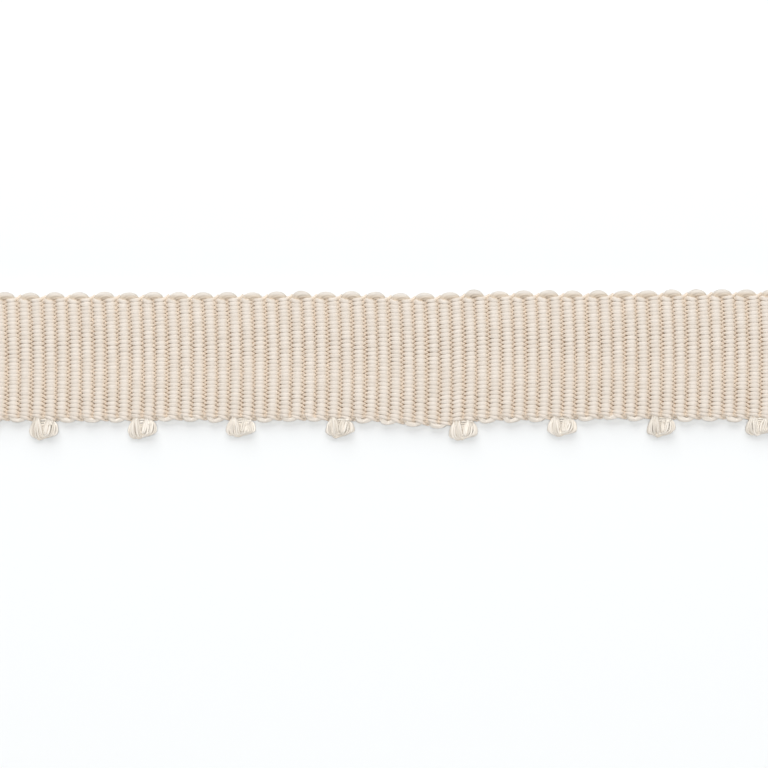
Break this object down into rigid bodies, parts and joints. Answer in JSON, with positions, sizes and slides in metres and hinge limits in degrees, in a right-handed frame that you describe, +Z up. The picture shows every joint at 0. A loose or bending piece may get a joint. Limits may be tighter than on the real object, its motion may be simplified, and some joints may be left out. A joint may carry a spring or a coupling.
{
  "type": "picot grosgrain ribbon",
  "caption": "Cut length of cream ribbed trimming ribbon with a scalloped upper edge and loose picot loops along the lower edge, lying flat.",
  "frame": {"origin": "middle of the ribbon's length and of its whole width, loops included, on the surface that it lies on", "axes": "+X along the ribbon, +Y across it towards the scalloped edge, +Z up through its face"},
  "size_m": [0.0911, 0.0167, 0.0013],
  "materials": {
    "ribbon_yarn": "undyed cream yarn, fine warps over thick weft cords, with a low sheen"
  },
  "bodies": {
    "root": {"ribbon": "ribbon_yarn"}
  },
  "joints": []
}
